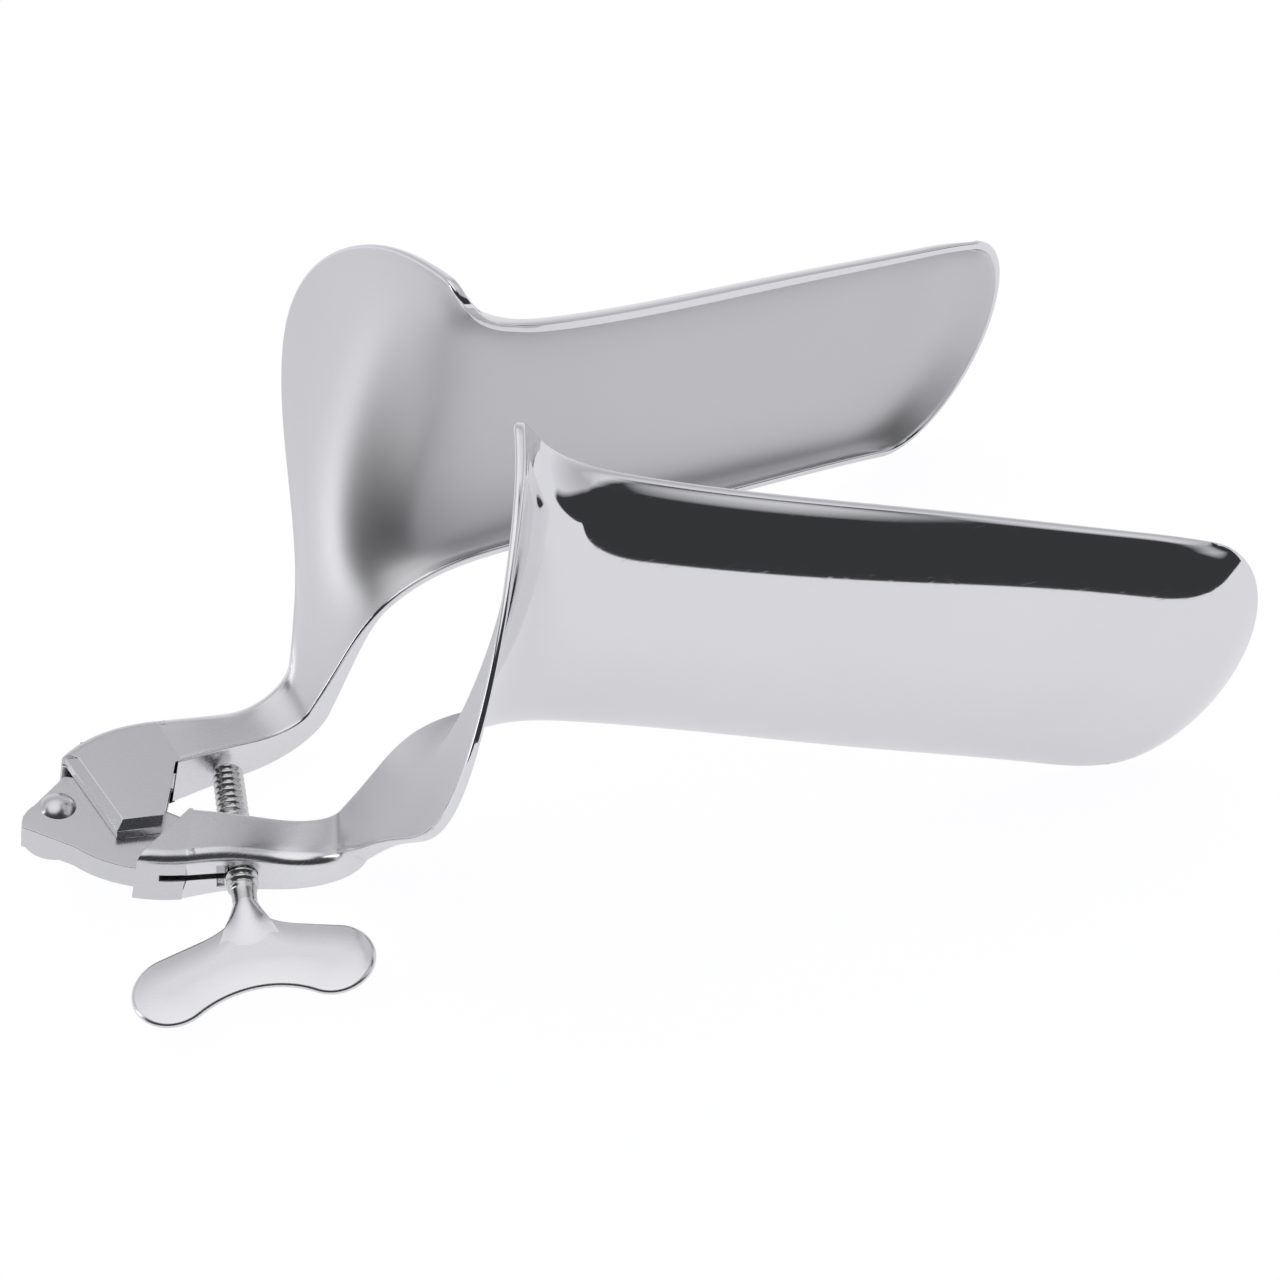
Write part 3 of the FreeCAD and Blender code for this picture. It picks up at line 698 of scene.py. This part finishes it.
def turned_with_wing(points):
    """Turns points about the screw's axis to the wing's resting lean."""
    x, y = points[..., 0].copy(), points[..., 1].copy()
    points[..., 0] = x * math.cos(WING_TURN) + y * math.sin(WING_TURN)
    points[..., 1] = y * math.cos(WING_TURN) - x * math.sin(WING_TURN)
    return points


def wing_outline():
    """Two round lobes, a hollow arc between them outside, and straight shoulders to the neck, as
    points (x, along) and their outward normals."""
    across = WING_SPAN / 2 - LOBE_RADIUS
    dip = WING_WAIST - WING_LOBE
    hollow = (across ** 2 + dip ** 2 - LOBE_RADIUS ** 2) / (2 * (LOBE_RADIUS - dip))
    reach = np.array([across - WING_ROOT, WING_LOBE - WING_START])
    leave = math.atan2(-reach[1], -reach[0]) + math.acos(LOBE_RADIUS / np.linalg.norm(reach))
    meet = math.atan2(WING_WAIST + hollow - WING_LOBE, -across)
    lobe_turn = np.linspace(leave, meet, 64)
    lobe = np.stack([across + LOBE_RADIUS * np.cos(lobe_turn),
                     WING_LOBE + LOBE_RADIUS * np.sin(lobe_turn)], axis=-1)
    swing = math.asin(across / (hollow + LOBE_RADIUS))
    bow_turn = np.linspace(swing, -swing, 34)[1:-1]
    bow = np.stack([hollow * np.sin(bow_turn), WING_WAIST + hollow - hollow * np.cos(bow_turn)], axis=-1)
    root = np.array([WING_ROOT, WING_START])
    slope = (lobe[0] - root) / (lobe[0, 0] - root[0])
    inner = NECK_RADIUS - 0.15
    bottom, corner = np.array([inner, BOSS_START + 0.3]), root + slope * (inner - WING_ROOT)
    leave_fillet = root + slope * FILLET_REACH
    share = np.linspace(0, 1, 16)[:, None]
    fillet = (1 - share) ** 2 * bottom + 2 * share * (1 - share) * corner + share ** 2 * leave_fillet
    shoulder = leave_fillet + (lobe[0] - leave_fillet) * np.linspace(0, 1, 9)[1:-1, None]
    right = np.concatenate([fillet, shoulder, lobe])
    left = right[::-1] * np.array([-1, 1])
    base = np.stack([np.linspace(-inner, inner, 5)[1:-1], np.full(3, bottom[1])], axis=-1)
    outline = np.concatenate([right, bow, left, base])
    tangent = np.roll(outline, -1, axis=0) - np.roll(outline, 1, axis=0)
    tangent /= np.linalg.norm(tangent, axis=1, keepdims=True)
    return outline, np.stack([tangent[:, 1], -tangent[:, 0]], axis=-1)


def wing_grid(edge):
    """Rings set in from the outline: a round edge, then a slight crown up to the full thickness.
    Near the neck the rings are set in less, so that they keep clear of each other."""
    outline, normal = wing_outline()
    half = WING_THICKNESS / 2
    bend = np.linspace(0, math.pi / 2, 7)
    rise = np.linspace(0, 1, 8)[1:]
    inset = np.concatenate([edge * (1 - np.cos(bend)), edge + WING_CROWN_REACH * rise])
    level = np.concatenate([(half - WING_CROWN) * np.sin(bend),
                            half - WING_CROWN + WING_CROWN * (1 - (1 - rise) ** 2)])
    narrow = np.clip((outline[:, 1] - BOSS_START - 0.3) / 4.5, 0.12, 1.0)[:, None]
    rings = np.stack([outline - normal * depth * narrow for depth in inset])
    top = np.stack([rings[..., 0], level[:, None] + 0 * rings[..., 0], rings[..., 1]], axis=-1)
    both = np.concatenate([(top * np.array([1, -1, 1]))[::-1], top[1:]])
    return turned_with_wing(np.concatenate([both, both[:, :1]], axis=1))


def rivet_grid(sides=72):
    """Dome of the rivet: part of a ball over a short rounded skirt, on the tongue."""
    ball = (RIVET_HEAD ** 2 + RIVET_DOME ** 2) / (2 * RIVET_DOME)
    swing = np.linspace(math.asin(RIVET_HEAD / ball), 0, 22)
    seat = -JAW_TOP - 0.05
    dome = np.stack([ball * np.sin(swing), seat + RIVET_DOME - ball + ball * np.cos(swing)], axis=-1)
    dome[-1, 0] = 0.0
    profile = np.concatenate([[[0, seat - 0.3], [RIVET_HEAD - 0.1, seat - 0.3]], dome])
    return rings_about(profile[:, 0, None], profile[:, 1, None], np.linspace(0, 2 * math.pi, sides + 1))


# Materials


class Sock:
    """A socket in an expression: + - * / and the reflected forms add Math nodes."""

    def __init__(self, tree, socket):
        self.tree, self.socket = tree, socket

    def math(self, operation, first, second=None, clamp=False):
        node = self.tree.nodes.new("ShaderNodeMath")
        node.operation, node.use_clamp = operation, clamp
        for slot, value in zip(node.inputs, (first, second)):
            if isinstance(value, Sock):
                self.tree.links.new(value.socket, slot)
            elif value is not None:
                slot.default_value = value
        return Sock(self.tree, node.outputs[0])

    def __add__(self, other):
        return self.math("ADD", self, other)

    def __mul__(self, other):
        return self.math("MULTIPLY", self, other)

    def __sub__(self, other):
        return self.math("SUBTRACT", self, other)

    def __rsub__(self, other):
        return self.math("SUBTRACT", other, self)

    def __truediv__(self, other):
        return self.math("DIVIDE", self, other)

    def clamp(self):
        return self.math("ADD", self, 0.0, clamp=True)

    __radd__ = __add__
    __rmul__ = __mul__


class Shader:
    """A material or world tree being wired up."""

    def __init__(self, tree):
        self.tree = tree
        tree.nodes.clear()

    def node(self, kind, settings=None, output=0, **values):
        """Adds a node, sets its settings first and then its sockets, by name or by number."""
        node = self.tree.nodes.new(kind)
        for name, value in (settings or {}).items():
            if name == "stops":
                self.set_stops(node.color_ramp, value)
            else:
                setattr(node, name, value)
        for name, value in values.items():
            numbered = name[0] == "_" and name[1:].isdigit()
            slot = node.inputs[int(name[1:]) if numbered else name.replace("_", " ")]
            if isinstance(value, Sock):
                self.tree.links.new(value.socket, slot)
            else:
                slot.default_value = value
        self.last = node
        return Sock(self.tree, node.outputs[output]) if node.outputs else None

    @staticmethod
    def set_stops(ramp, stops):
        while len(ramp.elements) < len(stops):
            ramp.elements.new(0.5)
        for element, (position, colour) in zip(ramp.elements, stops):
            element.position = position
            element.color = (*colour, 1.0) if len(colour) == 3 else colour


def step_between(value, low, high):
    """0 below low, 1 above high and a straight rise between."""
    return ((value - low) / (high - low)).clamp()


def steel(name, colour, roughness, haze, grain, scratch, arm_roughness):
    """Steel: roughness goes from the arm's to the blade's where the neck is and wanders by the
    haze, fine drawn grain and sparse scratches tilt the surface a little, and the colour breathes
    with the same haze."""
    material = bpy.data.materials.new(name)
    material.use_nodes = True
    shader = Shader(material.node_tree)
    place_at = shader.node("ShaderNodeTexCoord", output=3)
    cloud = shader.node("ShaderNodeTexNoise", Vector=place_at, Scale=38.0, Detail=3.0, Roughness=0.55)
    stretched = shader.node("ShaderNodeMapping", Vector=place_at, Scale=(260.0, 5200.0, 5200.0))
    drawn = shader.node("ShaderNodeTexNoise", Vector=stretched, Scale=1.0, Detail=4.0, Roughness=0.6)
    turned = shader.node("ShaderNodeMapping", Vector=place_at, Rotation=(0.3, 0.9, 0.5),
                         Scale=(160.0, 5200.0, 5200.0))
    hairs = shader.node("ShaderNodeTexNoise", Vector=turned, Scale=1.0, Detail=1.0, Roughness=0.4)
    lines = ((hairs - 0.64) * 9.0).clamp()
    shader.node("ShaderNodeSeparateXYZ", Vector=place_at)
    blade = step_between(Sock(shader.tree, shader.last.outputs["X"]), -0.046, -0.024)
    base = blade * (roughness - arm_roughness) + arm_roughness
    rough = (cloud - 0.5) * haze + (drawn - 0.5) * grain + lines * (scratch * 0.25) + base
    height = drawn * grain + lines * scratch
    normal = shader.node("ShaderNodeBump", Height=height, Strength=0.08, Distance=0.00001)
    warm = tuple(channel * 0.955 for channel in colour)
    tint = shader.node("ShaderNodeMix", {"data_type": "RGBA"}, output=2,
                       _0=cloud, _6=(*warm, 1.0), _7=(*colour, 1.0))
    surface = shader.node("ShaderNodeBsdfPrincipled", Base_Color=tint, Metallic=1.0,
                          Roughness=rough.clamp(), Normal=normal)
    shader.node("ShaderNodeOutputMaterial", Surface=surface)
    return material


POLISHED, SATIN = 0, 1


def finishes():
    """The three finishes, made once and shared by the pieces."""
    looks = bpy.context.scene.speculum_looks
    made = bpy.data.materials
    if "polished steel" not in made:
        ground = looks.ground_roughness
        steel("polished steel", looks.polished_colour, looks.polished_roughness, 0.02, 0.01, 0.3, ground)
        steel("satin steel", looks.satin_colour, looks.satin_roughness, 0.03, 0.02, 0.2, ground)
        steel("bright steel", looks.ground_colour, 0.2, 0.03, 0.02, 0.2, 0.2)
    return made["polished steel"], made["satin steel"], made["bright steel"]


class SpeculumSizes(bpy.types.PropertyGroup):
    """Sizes of the finish on the forgings and the screw"""
    edge_rounding: FloatProperty(name="Edge rounding",
        description="Rounding of the blade's rims and the arm's edges",
        default=0.42 * MM, min=0.1 * MM, max=0.6 * MM, precision=5, subtype="DISTANCE", unit="LENGTH")
    thread_pitch: FloatProperty(name="Thread pitch",
        description="Distance from ridge to ridge of the screw",
        default=1.08 * MM, min=0.5 * MM, max=2.0 * MM, precision=5, subtype="DISTANCE", unit="LENGTH")
    thread_depth: FloatProperty(name="Thread depth",
        description="Depth of the thread's groove",
        default=0.42 * MM, min=0.1 * MM, max=0.6 * MM, precision=5, subtype="DISTANCE", unit="LENGTH")
    wing_edge: FloatProperty(name="Wing edge",
        description="Rounding of the wing's edge",
        default=0.6 * MM, min=0.2 * MM, max=0.8 * MM, precision=5, subtype="DISTANCE", unit="LENGTH")


class SpeculumLooks(bpy.types.PropertyGroup):
    """Colours and gloss of the steel"""
    polished_colour: FloatVectorProperty(name="Polished steel",
        description="Colour of the mirror finish",
        default=(0.86, 0.86, 0.88), subtype="COLOR", min=0.0, max=1.0)
    satin_colour: FloatVectorProperty(name="Satin steel",
        description="Colour of the blades' insides and the arms",
        default=(0.73, 0.73, 0.745), subtype="COLOR", min=0.0, max=1.0)
    ground_colour: FloatVectorProperty(name="Ground steel",
        description="Colour of the screw's stem",
        default=(0.70, 0.70, 0.70), subtype="COLOR", min=0.0, max=1.0)
    polished_roughness: FloatProperty(name="Polished roughness",
        description="Blur of the mirror finish",
        default=0.05, min=0.0, max=1.0, subtype="FACTOR")
    satin_roughness: FloatProperty(name="Satin roughness",
        description="Blur of the blades' insides",
        default=0.42, min=0.0, max=1.0, subtype="FACTOR")
    ground_roughness: FloatProperty(name="Ground roughness",
        description="Blur of the arms and the hinge block",
        default=0.24, min=0.0, max=1.0, subtype="FACTOR")


class SPECULUM_OT_near_half(bpy.types.Operator):
    """Builds the near blade with its flange, arm, tongue and clamping slit"""
    bl_idname = "speculum.near_half"
    bl_label = "Near Half"

    def execute(self, context):
        edge = context.scene.speculum_sizes.edge_rounding
        weighted(piece("near_blade_forging", half_mesh("near_half", NEAR, edge), "near_blade",
                       ["near_half"], finishes()))
        return {"FINISHED"}


class SPECULUM_OT_far_half(bpy.types.Operator):
    """Builds the far blade with its flange, arm and fork"""
    bl_idname = "speculum.far_half"
    bl_label = "Far Half"

    def execute(self, context):
        edge = context.scene.speculum_sizes.edge_rounding
        weighted(piece("far_blade_forging", half_mesh("far_half", FAR, edge), "far_blade",
                       ["far_half"], finishes()))
        return {"FINISHED"}


class SPECULUM_OT_rivet(bpy.types.Operator):
    """Rounds the hinge rivet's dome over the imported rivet"""
    bl_idname = "speculum.rivet"
    bl_label = "Hinge Rivet"

    def execute(self, context):
        satin = finishes()[1]
        mesh = mesh_from_grid(place(rivet_grid(), FAR, gap=0.0))
        piece("rivet_dome", mesh, "near_blade", [], [satin])
        frame["nodes"]["hinge_rivet"].data.materials.clear()
        frame["nodes"]["hinge_rivet"].data.materials.append(satin)
        return {"FINISHED"}


class SPECULUM_OT_screw(bpy.types.Operator):
    """Builds the threaded stem and its waisted neck"""
    bl_idname = "speculum.screw"
    bl_label = "Screw Stem"

    def execute(self, context):
        sizes = context.scene.speculum_sizes
        grid = shank_grid(sizes.thread_pitch / MM, sizes.thread_depth / MM)
        piece("screw_stem", mesh_from_grid(place_on_screw(grid)), "screw", ["screw_shank"],
              [finishes()[2]])
        return {"FINISHED"}


class SPECULUM_OT_wing(bpy.types.Operator):
    """Builds the wing and the neck that flattens out into it"""
    bl_idname = "speculum.wing"
    bl_label = "Wing"

    def execute(self, context):
        polished = finishes()[0]
        piece("wing_tail", mesh_from_grid(place_on_screw(tail_grid())), "wing", ["wing_neck"],
              [polished])
        grid = place_on_screw(wing_grid(context.scene.speculum_sizes.wing_edge / MM))
        mesh = mesh_from_grid(grid, fill=True)
        weighted(piece("wing", mesh, "wing", ["wing_plate"], [polished]))
        return {"FINISHED"}


def mesh_from_grid(grid, fill=False):
    """A closed mesh from one grid, its open rings filled if asked."""
    bm = joined([(grid, 0)])
    if fill:
        bmesh.ops.holes_fill(bm, edges=[edge for edge in bm.edges if len(edge.link_faces) == 1], sides=0)
        bmesh.ops.recalc_face_normals(bm, faces=bm.faces)
    mesh = bpy.data.meshes.new("work")
    bm.to_mesh(mesh)
    bm.free()
    return mesh


# Stage


def camera():
    """The camera in the hinge frame: it looks along the azimuth and down by the drop, and leans
    by the roll."""
    forward = np.array([math.sin(CAMERA_AZIMUTH) * math.cos(CAMERA_DROP),
                        math.cos(CAMERA_AZIMUTH) * math.cos(CAMERA_DROP), -math.sin(CAMERA_DROP)])
    level = np.array([math.cos(CAMERA_AZIMUTH), -math.sin(CAMERA_AZIMUTH), 0.0])
    upright = np.cross(level, forward)
    right = math.cos(CAMERA_ROLL) * level + math.sin(CAMERA_ROLL) * upright
    up = -math.sin(CAMERA_ROLL) * level + math.cos(CAMERA_ROLL) * upright
    basis = np.stack([HINGE_AHEAD, HINGE_LEVEL, HINGE_UP], axis=-1)
    turn = basis @ np.stack([right, up, -forward], axis=-1)
    matrix = Matrix(turn.tolist()).to_4x4()
    matrix.translation = Vector((ARM_TOP + MM * basis @ CAMERA_PLACE).tolist())
    data = bpy.data.cameras.new("camera")
    data.lens = CAMERA_LENS
    data.sensor_width = CAMERA_SENSOR
    data.clip_start = 0.01
    obj = bpy.data.objects.new("camera", data)
    obj.matrix_world = matrix
    bpy.context.scene.collection.objects.link(obj)
    bpy.context.scene.camera = obj


def floor():
    """A wide pale table top at the height the model stands on."""
    corners = [(x * FLOOR_REACH, y * FLOOR_REACH, 0.0) for x, y in ((-1, -1), (1, -1), (1, 1), (-1, 1))]
    mesh = bpy.data.meshes.new("table_top")
    mesh.from_pydata(corners, [], [(0, 1, 2, 3)])
    obj = bpy.data.objects.new("table_top", mesh)
    bpy.context.scene.collection.objects.link(obj)
    material = bpy.data.materials.new("table white")
    material.use_nodes = True
    shader = Shader(material.node_tree)
    lit = shader.node("ShaderNodeBsdfDiffuse", Color=(0.93, 0.93, 0.94, 1.0))
    plain = shader.node("ShaderNodeEmission", Color=(0.985, 0.985, 1.0, 1.0), Strength=1.06)
    shader.node("ShaderNodeLightPath")
    shown = Sock(shader.tree, shader.last.outputs["Is Camera Ray"])
    mixed = shader.node("ShaderNodeMixShader", _0=shown * 0.36 + 0.56, _1=lit, _2=plain)
    shader.node("ShaderNodeOutputMaterial", Surface=mixed)
    mesh.materials.append(material)


def world():
    """White to the camera; round the object a pale room that is dark behind the camera from the
    table's level to high up, which the steel mirrors."""
    made = bpy.data.worlds.new("studio")
    made.use_nodes = True
    bpy.context.scene.world = made
    shader = Shader(made.node_tree)
    direction = shader.node("ShaderNodeTexCoord", output=0)
    shader.node("ShaderNodeSeparateXYZ", Vector=direction)
    ahead, side, height = (Sock(shader.tree, socket) for socket in shader.last.outputs[:3])
    dark = (step_between(height, -0.07, -0.03) * step_between(height, 0.88, 0.80)
            * step_between(side - height * 0.55, -0.14, -0.26)
            * step_between(ahead + height * 0.5, 1.04, 0.98))
    pale = shader.node("ShaderNodeValToRGB", {"stops": ROOM_STOPS}, Fac=height * 0.5 + 0.5)
    room = shader.node("ShaderNodeMix", {"data_type": "RGBA"}, output=2, _0=dark, _6=pale, _7=ROOM_DARK)
    seen = shader.node("ShaderNodeBackground", Color=(1.0, 1.0, 1.0, 1.0), Strength=1.0)
    lit = shader.node("ShaderNodeBackground", Color=room, Strength=1.0)
    shader.node("ShaderNodeLightPath")
    shown = Sock(shader.tree, shader.last.outputs["Is Camera Ray"])
    mixed = shader.node("ShaderNodeMixShader", _0=shown, _1=lit, _2=seen)
    shader.node("ShaderNodeOutputWorld", Surface=mixed)


def lamp():
    """A narrow soft lamp at the hinge's end, which draws the bright streak down the flange."""
    data = bpy.data.lights.new("lamp", "AREA")
    data.shape = "RECTANGLE"
    data.size, data.size_y = LAMP_SIZE
    data.energy = LAMP_POWER
    obj = bpy.data.objects.new("lamp", data)
    toward = Vector(LAMP_AIM) - Vector(LAMP_PLACE)
    obj.matrix_world = Matrix.Translation(LAMP_PLACE) @ toward.to_track_quat("-Z", "Y").to_matrix().to_4x4()
    bpy.context.scene.collection.objects.link(obj)


class SPECULUM_OT_stage(bpy.types.Operator):
    """Sets up the table, the room's light and the camera"""
    bl_idname = "speculum.stage"
    bl_label = "Stage"

    def execute(self, context):
        floor()
        world()
        lamp()
        camera()
        settings = context.scene.view_settings
        settings.view_transform = "Standard"
        return {"FINISHED"}


class SPECULUM_PT_panel(bpy.types.Panel):
    """Lists the builders and the sizes and looks they use"""
    bl_idname = "SPECULUM_PT_panel"
    bl_label = "Speculum"
    bl_space_type = "VIEW_3D"
    bl_region_type = "UI"
    bl_category = "Speculum"

    def draw(self, context):
        for operator in BUILDERS:
            self.layout.operator(operator.bl_idname)
        for group in (context.scene.speculum_sizes, context.scene.speculum_looks):
            for name in group.__annotations__:
                self.layout.prop(group, name)


BUILDERS = (SPECULUM_OT_near_half, SPECULUM_OT_far_half, SPECULUM_OT_rivet, SPECULUM_OT_screw,
            SPECULUM_OT_wing, SPECULUM_OT_stage)
CLASSES = (SpeculumSizes, SpeculumLooks, *BUILDERS, SPECULUM_PT_panel)


def register():
    for cls in CLASSES:
        bpy.utils.register_class(cls)
    bpy.types.Scene.speculum_sizes = PointerProperty(type=SpeculumSizes)
    bpy.types.Scene.speculum_looks = PointerProperty(type=SpeculumLooks)


def unregister():
    del bpy.types.Scene.speculum_looks
    del bpy.types.Scene.speculum_sizes
    for cls in reversed(CLASSES):
        bpy.utils.unregister_class(cls)


def main():
    register()
    for operator in BUILDERS:
        getattr(bpy.ops.speculum, operator.bl_idname.split(".")[1])()


if __name__ == "__main__":
    main()
